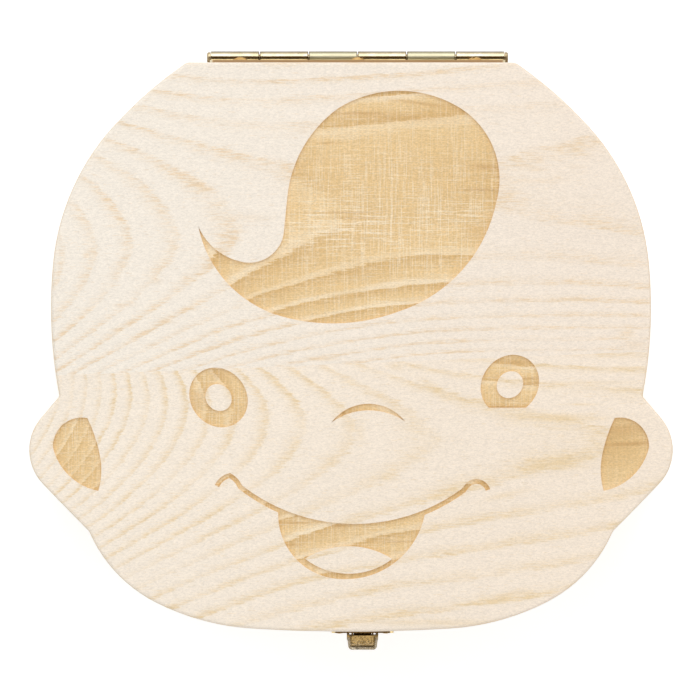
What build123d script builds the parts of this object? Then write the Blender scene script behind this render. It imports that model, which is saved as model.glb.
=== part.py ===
from build123d import *
import math
import os

# Keepsake box for milk teeth: a head-shaped case of pale wood, with a brass barrel hinge at the back
# and a small brass snap latch at the front. All lengths are in millimetres.
# The origin is on the underside, in the middle of the case with its hinge and latch.
# +X is to the right of someone facing the latch, +Y towards the hinge, +Z up.

# Outline and shell of the case
head_width = 122.0
head_depth = 107.8
base_height = 20.0
lid_thickness = 9.6
seam_gap = 0.3
rim_width = 6.0
deck_drop = 2.0
lid_recess_depth = 4.5
ear_base_round = 2.0
ear_notch_round = 0.8
brow_corner_round = 2.0
outer_edge_round = 0.6
seam_edge_round = 0.3
overrun = 1.0
shortest_edge = 0.02

# The lid is glued up from two boards, a little askew to the case
glue_line_share = -0.058
glue_line_turn = 2.3

# Tooth wells in two arches
wells_per_arch = 10
well_diameter = 9.2
well_depth = 11.0
well_mouth_chamfer = 0.4
well_floor_round = 1.2
arch_half_width = 40.6
arch_half_depth = 37.6
arch_side_angle = 14.0

# Two covered compartments inside the arches
compartment_half_width = 26.0
compartment_half_depth = 23.0
compartment_depth = 12.0
compartment_rib = 6.0
cover_ledge = 1.6
cover_thickness = 2.8
cover_clearance = 0.3
cover_drop = 0.2
compartment_corner_round = 2.5
finger_hole_diameter = 9.0
finger_hole_height_share = 0.45

# Engraving on the lid
engraving_depth = 0.4
smile_stroke = 0.9

# Brass sheet and fasteners
hinge_sheet = 0.5
latch_sheet = 0.45
latch_plate_sheet = 0.35
shank_clearance = 0.03

# Barrel hinge
hinge_length = 56.1
hinge_centre_x = 1.25
hinge_pin_diameter = 1.3
hinge_pin_clearance = 0.05
hinge_pin_head_diameter = 2.1
hinge_pin_head_length = 0.65
barrel_diameter = 2.4
barrel_stand_off = 0.1
knuckle_count = 6
knuckle_gap = 0.2
leaf_height = 8.6
leaf_corner_round = 0.9
leaf_relief = 0.2
roll_slit = 0.16
roll_slit_angle = 60.0
hinge_screw_spacing = 22.3
hinge_screw_offset = 5.8
hinge_screw_shank_diameter = 1.6
hinge_screw_shank_length = 6.0
hinge_screw_head_diameter = 2.9
hinge_screw_head_height = 0.7
hinge_screw_slot_width = 0.45
hinge_screw_slot_depth = 0.35
hinge_screw_slot_turns = (25.0, -40.0, 70.0)

# Snap latch: plate with lugs on the base, lever on a pin, catch plate with a tongue on the lid
latch_centre_x = 2.2
latch_plate_width = 11.8
latch_plate_corner_round = 0.8
base_plate_top_drop = 0.6
base_plate_height = 8.4
catch_plate_bottom_rise = 0.4
catch_plate_height = 6.4
lever_width_back = 6.0
lever_width_front = 5.3
lever_front_corner_round = 0.75
lever_back_reach = 0.75
lever_front_reach = 3.6
lever_top_rise = 5.1
lever_web_reach = 1.0
lever_web_bottom_rise = -2.4
lever_web_top_rise = 3.2
lever_floor_front_rise = 4.1
lever_waist_reach = 2.25
lever_waist_rise = 2.1
lever_shoulder_drop = 0.5
lever_window_width = 4.3
lever_window_bottom_rise = 0.3
lever_window_top_rise = 1.75
pivot_reach = 1.7
pivot_drop = 4.6
pivot_pin_diameter = 1.0
pivot_pin_clearance = 0.04
lever_eye_diameter = 2.3
lug_eye_diameter = 2.1
lug_side_clearance = 0.18
tongue_width = 3.4
tongue_bottom_rise = 0.75
tongue_reach = 2.35
tongue_tip_rise = 0.15
tongue_tip_length = 0.5
latch_nail_spacing = 8.8
catch_nail_rise = 3.7
base_nail_drop = 4.7
latch_nail_shank_diameter = 1.1
latch_nail_shank_length = 4.2
latch_nail_head_diameter = 2.0
latch_nail_head_height = 0.25

# Places worked out from the sizes above
half_width = head_width / 2
half_depth = head_depth / 2
barrel_reach = barrel_stand_off + barrel_diameter
case_centre_y = (lever_front_reach - barrel_reach) / 2
back_y = case_centre_y + half_depth
front_y = case_centre_y - half_depth
seam_z = base_height + seam_gap / 2
lid_bottom_z = base_height + seam_gap
lid_top_z = lid_bottom_z + lid_thickness
deck_z = base_height - deck_drop
glue_line_y = case_centre_y + glue_line_share * half_depth
hinge_axis_y = back_y + barrel_stand_off + barrel_diameter / 2
knuckle_length = hinge_length / knuckle_count
pivot_y = front_y - pivot_reach
pivot_z = seam_z - pivot_drop

# Right half of the outline, up from the middle of the chin in three smooth chains of arcs: cheek, ear and
# brow. Each has the direction in which it sets out, in degrees, and the ends of its arcs, in shares of the
# half width and the half depth.
outline_start_share = (0.0, -1.000)
outline_headings = (0.0, 45.0, 79.0)
outline_end_shares = [
    [(0.309, -0.989), (0.605, -0.898), (0.813, -0.647)],
    [(0.957, -0.480), (0.963, -0.250), (0.905, -0.173)],
    [(0.924, 0.304), (0.739, 0.774), (0.510, 1.000)],
]

# Curl of hair, one closed chain of arcs, clockwise from the tip of the tail
curl_start_share = (-0.474, 0.425)
curl_arc_shares = [
    ((-0.412, 0.336), (-0.327, 0.297)),
    ((-0.250, 0.321), (-0.209, 0.397)),
    ((-0.204, 0.455), (-0.198, 0.520)),
    ((-0.149, 0.701), (-0.038, 0.840)),
    ((0.156, 0.900), (0.341, 0.838)),
    ((0.443, 0.697), (0.450, 0.505)),
    ((0.351, 0.278), (0.148, 0.125)),
    ((-0.056, 0.083), (-0.222, 0.110)),
    ((-0.403, 0.250), (-0.474, 0.425)),
]

# Eyes: an oval ring each, leaning outwards
eye_half_length_share = 0.097
eye_half_breadth_share = 0.0862
pupil_size_share = 0.45
left_eye_share = (-0.411, -0.177)
right_eye_share = (0.493, -0.132)
eye_lean = 50.0
right_eye_floor_share = -0.213

# Nose: a thin crescent
nose_share = [(-0.061, -0.265), (0.053, -0.199), (0.168, -0.261)]
nose_underside_share = (0.053, -0.222)

# Smile line with its two hooked ends, as the middle of the stroke
smile_start_share = (-0.416, -0.488)
smile_arc_shares = [
    ((-0.396, -0.461), (-0.377, -0.451)),
    ((-0.358, -0.467), (-0.344, -0.491)),
    ((-0.020, -0.6285), (0.349, -0.504)),
    ((0.358, -0.491), (0.369, -0.478)),
    ((0.399, -0.4735), (0.425, -0.502)),
]

# Open mouth below the smile line, and the tongue left standing in it
mouth_start_share = (-0.226, -0.580)
mouth_arc_shares = [
    ((-0.171, -0.744), (-0.020, -0.815)),
    ((0.138, -0.755), (0.230, -0.582)),
    ((0.000, -0.622), (-0.226, -0.580)),
]
mouth_tongue_start_share = (-0.143, -0.743)
mouth_tongue_arc_shares = [
    ((-0.010, -0.699), (0.128, -0.744)),
    ((-0.010, -0.796), (-0.143, -0.743)),
]

# Mark inside the left ear, mirrored for the right one
ear_start_share = (-0.818, -0.249)
ear_arc_shares = [
    ((-0.895, -0.273), (-0.925, -0.352)),
    ((-0.879, -0.447), (-0.784, -0.505)),
    ((-0.7745, -0.436), (-0.779, -0.380)),
    ((-0.795, -0.312), (-0.818, -0.249)),
]


def place(share):
    """Point of the case's plan, from shares of its half width and half depth."""
    return Vector(share[0] * half_width, case_centre_y + share[1] * half_depth)


def arc_chain(start, arcs):
    """Edges of a chain of arcs, each through its middle point to its end."""
    edges = []
    for middle, end in arcs:
        edges.append(ThreePointArc(place(start), place(middle), place(end)))
        start = end
    return edges


def closed_face(start, arcs):
    """Flat face inside a closed chain of arcs."""
    return make_face(Wire(arc_chain(start, arcs)).edges())


def smooth_chain(start, heading, ends):
    """Edges of arcs that run on smoothly from one another, from a first point and direction."""
    edges = []
    point = place(start)
    direction = Vector(1, 0).rotate(Axis.Z, heading)
    for end in ends:
        arc = TangentArc(point, place(end), tangent=direction)
        edges.append(arc)
        point = arc @ 1
        direction = arc % 1
    return edges


def head_face():
    """Plan of the case: the right half's chains, their mirror image and the flat top edge between them."""
    right = []
    start = outline_start_share
    for heading, ends in zip(outline_headings, outline_end_shares):
        right += smooth_chain(start, heading, ends)
        start = ends[-1]
    left = [edge.mirror(Plane.YZ) for edge in right]
    top = Line(place(start), place((-start[0], start[1])))
    face = make_face([*right, *left, top])
    rounds = (ear_base_round, ear_notch_round, brow_corner_round)
    for ends, size in zip(outline_end_shares, rounds):
        corners = [place(ends[-1]), place((-ends[-1][0], ends[-1][1]))]
        for corner in corners:
            face = fillet(face.vertices().sort_by_distance(corner)[0], size)
    return face


def prism(face, bottom, top):
    """Upright solid over a flat face, between two heights."""
    return extrude(Pos(0, 0, bottom) * face, top - bottom, dir=(0, 0, 1))


def level_edges(solid, height):
    """Edges of a prism that lie at one height."""
    return solid.edges().filter_by(lambda edge: abs(edge.center().Z - height) < seam_edge_round / 2)


def block(low, high):
    """Box between two corners."""
    size = [h - l for l, h in zip(low, high)]
    middle = [(h + l) / 2 for l, h in zip(low, high)]
    return Pos(*middle) * Box(*size)


def rod_x(diameter, x_low, x_high, y, z):
    """Cylinder along X."""
    rod = Cylinder(diameter / 2, x_high - x_low, rotation=(0, 90, 0))
    return Pos((x_low + x_high) / 2, y, z) * rod


def side_prism(points, x_low, x_high):
    """Solid between two places on X, over a polygon of (y, z) points."""
    outline = Polyline(*[(x_low, y, z) for y, z in points], close=True)
    return extrude(make_face(outline), x_high - x_low, dir=(1, 0, 0))


def redrawn(face):
    """The same face with its outline drawn anew, each arc from the very point where the last one ends."""
    edges = [edge for edge in face.wire().order_edges() if edge.length > shortest_edge]
    corners = [edge @ 0 for edge in edges]
    outline = []
    for edge, start, end in zip(edges, corners, corners[1:] + corners[:1]):
        if edge.geom_type == GeomType.LINE:
            outline.append(Line(start, end))
        else:
            outline.append(ThreePointArc(start, edge @ 0.5, end))
    return make_face(outline)


def inner_face():
    """Plan of the hollow inside the rim."""
    return redrawn(offset(head_face(), amount=-rim_width))


def well_places():
    """Middles of the tooth wells, the upper arch first, each from its left end to its right end."""
    step = (180 - 2 * arch_side_angle) / (wells_per_arch - 1)
    places = []
    for side in (1, -1):
        for index in range(wells_per_arch):
            angle = math.radians(180 - arch_side_angle - index * step)
            x = arch_half_width * math.cos(angle)
            y = case_centre_y + side * arch_half_depth * math.sin(angle)
            places.append((x, y))
    return places


def tooth_well():
    """Material taken out for one well, its mouth at height zero."""
    bore = Pos(0, 0, -well_depth / 2) * Cylinder(well_diameter / 2, well_depth)
    bore = fillet(bore.edges().sort_by(Axis.Z)[0], well_floor_round)
    mouth_radius = well_diameter / 2 + well_mouth_chamfer
    mouth = Cone(well_diameter / 2, mouth_radius, well_mouth_chamfer)
    return bore + Pos(0, 0, -well_mouth_chamfer / 2) * mouth


def half_oval(side, inset):
    """Half of the compartments' oval, drawn in by inset, on the upper (1) or lower (-1) side of the rib."""
    wide = compartment_half_width - inset
    deep = compartment_half_depth - inset
    oval = Pos(0, case_centre_y) * Ellipse(wide, deep)
    low = compartment_rib / 2 + inset
    half = Pos(0, case_centre_y + side * (low + deep / 2)) * Rectangle(2 * wide, deep)
    face = (oval & half).face()
    return fillet(face.vertices(), compartment_corner_round)


def compartment(side):
    """Material taken out for one compartment and for the ledge that its cover rests on."""
    cover_bed_z = deck_z - cover_drop - cover_thickness
    pocket = prism(half_oval(side, cover_ledge), deck_z - compartment_depth, deck_z)
    bed = prism(half_oval(side, 0), cover_bed_z, deck_z + overrun)
    return pocket + bed


def base_block():
    """Block of the base with its shallow hollow, wells and compartments."""
    base = prism(head_face(), 0, base_height)
    base = fillet(level_edges(base, 0), outer_edge_round)
    base = chamfer(level_edges(base, base_height), seam_edge_round)
    base -= prism(inner_face(), deck_z, base_height + overrun)
    well = tooth_well()
    base -= [Pos(x, y, deck_z) * well for x, y in well_places()]
    base -= [compartment(side) for side in (1, -1)]
    base -= [screw_hole(spot) for spot in hinge_screw_places(-1)]
    base -= [nail_hole(spot) for spot in base_nail_places()]
    return base


def compartment_cover(side):
    """Cover plate of one compartment, with its round finger hole."""
    cover = prism(half_oval(side, cover_clearance), 0, cover_thickness)
    cover = chamfer(level_edges(cover, cover_thickness), seam_edge_round)
    reach = compartment_rib / 2 + finger_hole_height_share * (compartment_half_depth - compartment_rib / 2)
    hole = Cylinder(finger_hole_diameter / 2, 2 * cover_thickness + overrun)
    cover -= Pos(0, case_centre_y + side * reach) * hole
    return Pos(0, 0, deck_z - cover_drop - cover_thickness) * cover


def eye_face(centre_share, lean):
    """Oval ring of an eye."""
    long_half = eye_half_length_share * half_width
    broad_half = eye_half_breadth_share * half_width
    pupil = Ellipse(long_half * pupil_size_share, broad_half * pupil_size_share)
    ring = Ellipse(long_half, broad_half) - pupil
    centre = place(centre_share)
    return Pos(centre.X, centre.Y) * Rot(0, 0, lean) * ring


def engraved_faces():
    """Every face of the picture burnt into the lid."""
    left_eye = eye_face(left_eye_share, -eye_lean)
    right_eye = eye_face(right_eye_share, eye_lean)
    floor_y = place((0, right_eye_floor_share)).Y
    right_eye -= Pos(half_width / 2, floor_y - half_depth / 2) * Rectangle(half_width, half_depth)
    nose_top = ThreePointArc(*[place(share) for share in nose_share])
    nose_under = ThreePointArc(place(nose_share[2]), place(nose_underside_share), place(nose_share[0]))
    nose = make_face([nose_top, nose_under])
    smile = trace(arc_chain(smile_start_share, smile_arc_shares), line_width=smile_stroke)
    mouth = closed_face(mouth_start_share, mouth_arc_shares)
    mouth -= closed_face(mouth_tongue_start_share, mouth_tongue_arc_shares)
    left_ear = closed_face(ear_start_share, ear_arc_shares)
    right_ear = mirror(left_ear, Plane.YZ)
    curl = closed_face(curl_start_share, curl_arc_shares)
    return [curl, left_eye, right_eye, nose, smile + mouth, left_ear, right_ear]


def lid_panel():
    """Whole lid before it is parted at its glue line."""
    lid = prism(head_face(), lid_bottom_z, lid_top_z)
    lid = fillet(level_edges(lid, lid_top_z), outer_edge_round)
    lid = chamfer(level_edges(lid, lid_bottom_z), seam_edge_round)
    lid -= prism(inner_face(), lid_bottom_z - overrun, lid_bottom_z + lid_recess_depth)
    for face in engraved_faces():
        lid -= prism(face, lid_top_z - engraving_depth, lid_top_z + overrun)
    lid -= [screw_hole(spot) for spot in hinge_screw_places(1)]
    lid -= [nail_hole(spot) for spot in catch_nail_places()]
    return lid


def lid_boards():
    """Rear and front board of the lid, glued edge to edge."""
    panel = lid_panel()
    turned = Pos(0, glue_line_y) * Rot(0, 0, glue_line_turn)
    rear_half = turned * block((-head_width, 0, 0), (head_width, head_depth, 2 * lid_top_z))
    front_half = turned * block((-head_width, -head_depth, 0), (head_width, 0, 2 * lid_top_z))
    return panel & rear_half, panel & front_half


def hinge_screw_places(side):
    """Middles of the screws in the upper (1) or lower (-1) leaf, on the face of the wood."""
    z = seam_z + side * hinge_screw_offset
    return [(hinge_centre_x + step * hinge_screw_spacing, back_y, z) for step in (-1, 0, 1)]


def latch_nail_places(z):
    """Middles of a pair of latch nails at one height, on the face of the wood."""
    return [(latch_centre_x + side * latch_nail_spacing / 2, front_y, z) for side in (-1, 1)]


def base_nail_places():
    """Middles of the nails in the latch's plate on the base."""
    return latch_nail_places(seam_z - base_nail_drop)


def catch_nail_places():
    """Middles of the nails in the catch plate."""
    return latch_nail_places(seam_z + catch_nail_rise)


def screw_hole(spot):
    """Hole in the wood for a hinge screw, running in from the back."""
    x, y, z = spot
    length = hinge_screw_shank_length + shank_clearance + overrun
    radius = hinge_screw_shank_diameter / 2 + shank_clearance
    return Pos(x, y + overrun - length / 2, z) * Cylinder(radius, length, rotation=(90, 0, 0))


def nail_hole(spot):
    """Hole in the wood for a latch nail, running in from the front."""
    x, y, z = spot
    length = latch_nail_shank_length + shank_clearance + overrun
    radius = latch_nail_shank_diameter / 2 + shank_clearance
    return Pos(x, y - overrun + length / 2, z) * Cylinder(radius, length, rotation=(90, 0, 0))


def domed_fastener(shank_diameter, shank_length, sheet, head_diameter, head_height):
    """Fastener along Z: a domed head above zero, a shank below it through the sheet and into the wood."""
    radius = head_diameter / 2
    ball_radius = (radius ** 2 + head_height ** 2) / (2 * head_height)
    ball = Pos(0, 0, head_height - ball_radius) * Sphere(ball_radius)
    head = ball & Pos(0, 0, head_height / 2) * Cylinder(radius, head_height)
    length = shank_length + sheet
    point = shank_diameter / 2
    shank = Pos(0, 0, -(length - point) / 2) * Cylinder(shank_diameter / 2, length - point)
    tip = Pos(0, 0, point / 2 - length) * Cone(0, shank_diameter / 2, point)
    return head + shank + tip


def hinge_screws(side):
    """Slotted dome-head screws of one leaf."""
    screw = domed_fastener(
        hinge_screw_shank_diameter,
        hinge_screw_shank_length,
        hinge_sheet,
        hinge_screw_head_diameter,
        hinge_screw_head_height,
    )
    slot_bottom = hinge_screw_head_height - hinge_screw_slot_depth
    slot = block(
        (-hinge_screw_head_diameter, -hinge_screw_slot_width / 2, slot_bottom),
        (hinge_screw_head_diameter, hinge_screw_slot_width / 2, hinge_screw_head_height + overrun),
    )
    screw -= slot
    return [
        Pos(x, y + hinge_sheet, z) * Rot(-90, 0, 0) * Rot(0, 0, turn) * screw
        for (x, y, z), turn in zip(hinge_screw_places(side), hinge_screw_slot_turns)
    ]


def latch_nails(places):
    """Dome-head nails of one latch plate."""
    nail = domed_fastener(
        latch_nail_shank_diameter,
        latch_nail_shank_length,
        latch_plate_sheet,
        latch_nail_head_diameter,
        latch_nail_head_height,
    )
    return [Pos(x, y - latch_plate_sheet, z) * Rot(90, 0, 0) * nail for x, y, z in places]


def knuckle(index, side):
    """One rolled knuckle of the barrel, with the slit where the sheet closes on itself."""
    start = hinge_centre_x - hinge_length / 2 + index * knuckle_length
    x_low = start + knuckle_gap / 2
    x_high = start + knuckle_length - knuckle_gap / 2
    ring = rod_x(barrel_diameter, x_low, x_high, hinge_axis_y, seam_z)
    neck = block(
        (x_low, back_y, min(seam_z, seam_z + side * barrel_diameter)),
        (x_high, back_y + hinge_sheet, max(seam_z, seam_z + side * barrel_diameter)),
    )
    slit = block((x_low, 0, -roll_slit / 2), (x_high, barrel_diameter, roll_slit / 2))
    slit_turn = 180 - side * roll_slit_angle
    slit = Pos(0, hinge_axis_y, seam_z) * Rot(slit_turn, 0, 0) * slit
    bore_diameter = hinge_pin_diameter + 2 * hinge_pin_clearance
    bore = rod_x(bore_diameter, x_low - overrun, x_high + overrun, hinge_axis_y, seam_z)
    return ring + neck - slit - bore


def hinge_leaf(side):
    """Upper (1) or lower (-1) leaf of the hinge, on the back of the case, with its knuckles."""
    low_z = barrel_diameter / 2 + leaf_relief
    plate_z = seam_z + side * (low_z + leaf_height) / 2
    plate = Rot(90, 0, 0) * RectangleRounded(hinge_length, leaf_height - low_z, leaf_corner_round)
    leaf = extrude(Pos(hinge_centre_x, back_y, plate_z) * plate, hinge_sheet, dir=(0, 1, 0))
    first = 0 if side == 1 else 1
    for index in range(first, knuckle_count, 2):
        leaf += knuckle(index, side)
    bore_radius = hinge_screw_shank_diameter / 2 + shank_clearance
    hole = Cylinder(bore_radius, 2 * hinge_sheet + overrun, rotation=(90, 0, 0))
    leaf -= [Pos(x, y, z) * hole for x, y, z in hinge_screw_places(side)]
    return leaf


def hinge_pin():
    """Pin through the barrel, peened over at both ends."""
    half = hinge_length / 2
    pin = rod_x(hinge_pin_diameter, hinge_centre_x - half, hinge_centre_x + half, hinge_axis_y, seam_z)
    for side in (-1, 1):
        inner = hinge_centre_x + side * half
        outer = inner + side * hinge_pin_head_length
        head = rod_x(hinge_pin_head_diameter, min(inner, outer), max(inner, outer), hinge_axis_y, seam_z)
        rim = head.edges().filter_by(lambda edge: abs(edge.center().X - outer) < hinge_pin_head_length / 2)
        pin += fillet(rim.filter_by(GeomType.CIRCLE), hinge_pin_head_length / 2)
    return pin


def latch_plate_blank(bottom, top, places):
    """Flat plate on the front of the case between two heights, with its nail holes."""
    plate = Rot(90, 0, 0) * RectangleRounded(latch_plate_width, top - bottom, latch_plate_corner_round)
    middle = Pos(latch_centre_x, front_y, (bottom + top) / 2)
    plate = extrude(middle * plate, latch_plate_sheet, dir=(0, -1, 0))
    bore_radius = latch_nail_shank_diameter / 2 + shank_clearance
    hole = Cylinder(bore_radius, 2 * latch_plate_sheet + overrun, rotation=(90, 0, 0))
    return plate - [Pos(x, y, z) * hole for x, y, z in places]


def lever_half_width(reach):
    """Half width of the lever at a distance in front of the wood: it narrows towards the front."""
    share = (reach - lever_back_reach) / (lever_front_reach - lever_back_reach)
    return (lever_width_back + share * (lever_width_front - lever_width_back)) / 2


def latch_base_plate():
    """Plate on the base, with the two lugs that carry the lever's pin."""
    top = seam_z - base_plate_top_drop
    plate = latch_plate_blank(top - base_plate_height, top, base_nail_places())
    outer = lever_half_width(pivot_reach + lever_eye_diameter / 2) - latch_sheet - lug_side_clearance
    for side in (-1, 1):
        x_low = latch_centre_x + min(side * outer, side * (outer - latch_plate_sheet))
        x_high = x_low + latch_plate_sheet
        eye = rod_x(lug_eye_diameter, x_low, x_high, pivot_y, pivot_z)
        arm = block(
            (x_low, pivot_y, pivot_z - lug_eye_diameter / 2),
            (x_high, front_y - latch_plate_sheet / 2, pivot_z + lug_eye_diameter / 2),
        )
        plate += eye + arm
    bore_diameter = pivot_pin_diameter + 2 * pivot_pin_clearance
    reach = latch_plate_width / 2
    return plate - rod_x(bore_diameter, latch_centre_x - outer, latch_centre_x + reach, pivot_y, pivot_z)


def latch_pin():
    """Pin that the lever turns on."""
    half = lever_width_back / 2
    return rod_x(pivot_pin_diameter, latch_centre_x - half, latch_centre_x + half, pivot_y, pivot_z)


def lever_plan(inset):
    """Plan of the lever, narrower in front, drawn in by inset and open behind when it is."""
    back = front_y - lever_back_reach + (overrun if inset else overrun / 2)
    front = front_y - lever_front_reach + inset
    wide = lever_width_back / 2 - inset
    narrow = lever_half_width(lever_front_reach - inset) - inset
    corners = Polyline(
        (latch_centre_x - wide, back),
        (latch_centre_x - wide, front_y - lever_back_reach),
        (latch_centre_x - narrow, front),
        (latch_centre_x + narrow, front),
        (latch_centre_x + wide, front_y - lever_back_reach),
        (latch_centre_x + wide, back),
        close=True,
    )
    face = make_face(corners)
    return fillet(face.vertices().sort_by(Axis.Y)[:2], lever_front_corner_round - inset)


def lever_points(reaches_and_rises):
    """Points of the lever's side view, from distances in front of the wood and heights above the seam."""
    return [(front_y - reach, seam_z + rise) for reach, rise in reaches_and_rises]


def latch_lever():
    """Pressed lever: two cheeks and a lip round a scoop to pull it by, and a web with the tongue's window."""
    x_low = latch_centre_x - lever_width_back
    x_high = latch_centre_x + lever_width_back
    cheek_points = [
        (lever_back_reach, -pivot_drop),
        (lever_back_reach, lever_top_rise - lever_shoulder_drop),
        (lever_back_reach + lever_shoulder_drop, lever_top_rise),
        (lever_front_reach + overrun, lever_top_rise),
        (lever_front_reach + overrun, lever_floor_front_rise),
        (lever_front_reach, lever_floor_front_rise - latch_sheet / 2),
        (lever_waist_reach, lever_waist_rise),
        (lever_waist_reach, -pivot_drop),
    ]
    silhouette = side_prism(lever_points(cheek_points), x_low, x_high)
    silhouette += rod_x(lever_eye_diameter, x_low, x_high, pivot_y, pivot_z)
    bottom = pivot_z - lever_eye_diameter
    top = seam_z + lever_top_rise + overrun
    outer = prism(lever_plan(0), bottom, top)
    walls = silhouette & (outer - prism(lever_plan(latch_sheet), bottom - overrun, top + overrun))
    lip_reach = lever_front_reach - latch_sheet
    sheet_points = [
        (lever_web_reach, lever_web_bottom_rise),
        (lever_web_reach, lever_web_top_rise),
        (lip_reach, lever_floor_front_rise),
        (lever_front_reach, lever_floor_front_rise),
        (lever_front_reach, lever_floor_front_rise - latch_sheet),
        (lever_web_reach + latch_sheet, lever_web_top_rise - latch_sheet),
        (lever_web_reach + latch_sheet, lever_web_bottom_rise),
    ]
    sheet = side_prism(lever_points(sheet_points), x_low, x_high) & outer
    window_half = lever_window_width / 2
    window = block(
        (latch_centre_x - window_half, front_y - lever_waist_reach, seam_z + lever_window_bottom_rise),
        (latch_centre_x + window_half, front_y, seam_z + lever_window_top_rise),
    )
    bore_diameter = pivot_pin_diameter + 2 * pivot_pin_clearance
    return walls + sheet - window - rod_x(bore_diameter, x_low, x_high, pivot_y, pivot_z)


def catch_plate():
    """Plate on the lid, with the tongue that the lever closes over."""
    bottom = seam_z + catch_plate_bottom_rise
    plate = latch_plate_blank(bottom, bottom + catch_plate_height, catch_nail_places())
    root = latch_plate_sheet / 2
    tip = tongue_reach - tongue_tip_length
    under = tongue_bottom_rise
    upper = tongue_bottom_rise + latch_plate_sheet
    tongue_points = [
        (root, under),
        (tip, under),
        (tongue_reach, under + tongue_tip_rise),
        (tongue_reach, upper + tongue_tip_rise),
        (tip, upper),
        (root, upper),
    ]
    half = tongue_width / 2
    return plate + side_prism(lever_points(tongue_points), latch_centre_x - half, latch_centre_x + half)


def write(name, *shapes):
    """Writes one node, a solid or a group of separate solids."""
    solids = [solid for shape in shapes for solid in shape.solids()]
    export_step(Compound(children=solids), os.path.join("parts", name + ".step"))


def main():
    os.makedirs("parts", exist_ok=True)
    rear_board, front_board = lid_boards()
    write("base_block", base_block())
    write("lid_rear_board", rear_board)
    write("lid_front_board", front_board)
    write("upper_compartment_cover", compartment_cover(1))
    write("lower_compartment_cover", compartment_cover(-1))
    write("hinge_lid_leaf", hinge_leaf(1))
    write("hinge_base_leaf", hinge_leaf(-1))
    write("hinge_pin", hinge_pin())
    write("hinge_lid_screws", *hinge_screws(1))
    write("hinge_base_screws", *hinge_screws(-1))
    write("latch_base_plate", latch_base_plate())
    write("latch_lever", latch_lever())
    write("latch_pin", latch_pin())
    write("latch_base_nails", *latch_nails(base_nail_places()))
    write("catch_plate", catch_plate())
    write("catch_nails", *latch_nails(catch_nail_places()))


main()
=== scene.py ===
import math
import bpy
import numpy as np
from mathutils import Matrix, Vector


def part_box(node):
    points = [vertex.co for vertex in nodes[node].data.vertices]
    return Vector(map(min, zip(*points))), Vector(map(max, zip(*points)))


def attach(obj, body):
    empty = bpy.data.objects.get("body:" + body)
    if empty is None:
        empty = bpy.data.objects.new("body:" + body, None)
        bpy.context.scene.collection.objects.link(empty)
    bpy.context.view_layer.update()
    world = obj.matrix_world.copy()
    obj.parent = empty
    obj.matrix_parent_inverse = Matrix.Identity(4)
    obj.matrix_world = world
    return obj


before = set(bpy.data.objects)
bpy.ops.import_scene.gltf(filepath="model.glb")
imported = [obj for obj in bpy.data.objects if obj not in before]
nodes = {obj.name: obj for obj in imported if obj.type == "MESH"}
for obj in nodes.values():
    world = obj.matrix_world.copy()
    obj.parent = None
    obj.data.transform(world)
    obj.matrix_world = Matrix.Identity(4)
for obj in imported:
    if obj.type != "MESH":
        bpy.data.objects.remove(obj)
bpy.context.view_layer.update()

mm = 0.001
coverDrop = 0.2  # millimetres that the compartment covers lie below the deck
scene = bpy.context.scene

caseLow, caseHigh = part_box("base_block")
lidLow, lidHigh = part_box("lid_rear_board")
caseMiddleY = (caseLow.y + caseHigh.y) / 2
lidTop = lidHigh.z / mm  # heights that the finishes read, in millimetres
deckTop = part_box("upper_compartment_cover")[1].z / mm + coverDrop


# Camera, straight above as in the photograph

cameraValues = {
    "pixelsPerMm": 5.284,  # scale of the lid's face in the photograph
    "framePixels": 700,
    "caseMiddlePixel": (351.0, 347.05),  # where the middle of the lid's outline lies
    "distanceMm": 1200.0,
    "sensorMm": 36.0,
    "clipFrom": 0.01,
    "clipTo": 20.0,
}


def makeCamera(v):
    # Looks straight down. The lens makes the lid's face the right number of pixels to the millimetre.
    data = bpy.data.cameras.new("camera")
    camera = bpy.data.objects.new("camera", data)
    scene.collection.objects.link(camera)
    frameMm = v["framePixels"] / v["pixelsPerMm"]
    data.sensor_width = v["sensorMm"]
    data.lens = v["sensorMm"] * v["distanceMm"] / frameMm
    data.dof.use_dof = False
    right = (v["framePixels"] / 2 - v["caseMiddlePixel"][0]) / v["pixelsPerMm"]
    down = (v["framePixels"] / 2 - v["caseMiddlePixel"][1]) / v["pixelsPerMm"]
    camera.location = (right * mm, caseMiddleY - down * mm, lidHigh.z + v["distanceMm"] * mm)
    camera.rotation_euler = (0, 0, 0)
    data.clip_start = v["clipFrom"]
    data.clip_end = v["clipTo"]
    scene.camera = camera


# Light and floor

lightValues = {
    "worldStrength": 0.68,
    "worldColour": (1.0, 1.0, 1.0, 1),
    "darkColour": (0.12, 0.07, 0.022, 1),  # what bare metal mirrors straight above, and how far that reaches
    "darkTowards": (0.0, 0.09, 0.996),
    "darkFrom": 0.905,
    "darkTo": 0.965,
    "keyPower": 2.4,
    "keyColour": (1.0, 1.0, 0.99),
    "keySize": 1.1,
    "keyPlace": (-0.75, 0.55, 1.15),
    "fillPower": 2.3,
    "fillColour": (1.0, 0.99, 0.975),
    "fillSize": 1.4,
    "fillPlace": (0.95, -0.6, 0.9),
    "backPower": 5.2,  # gives the hinge's barrel its white streak
    "backColour": (1.0, 1.0, 0.99),
    "backSize": 1.1,
    "backPlace": (0.1, 1.0, 0.75),
}
floorValues = {
    "size": 6.0,
    "colour": (0.80, 0.80, 0.80, 1),
    "rough": 0.9,
    "ownLight": 0.46,  # the share of white that the floor shows to the camera by itself
}


def areaLight(name, at, power, tint, size):
    data = bpy.data.lights.new(name, "AREA")
    data.shape = "DISK"
    data.energy = power
    data.color = tint
    data.size = size
    lamp = bpy.data.objects.new(name, data)
    scene.collection.objects.link(lamp)
    lamp.location = at
    lamp.rotation_euler = (-Vector(at)).to_track_quat("-Z", "Y").to_euler()


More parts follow.
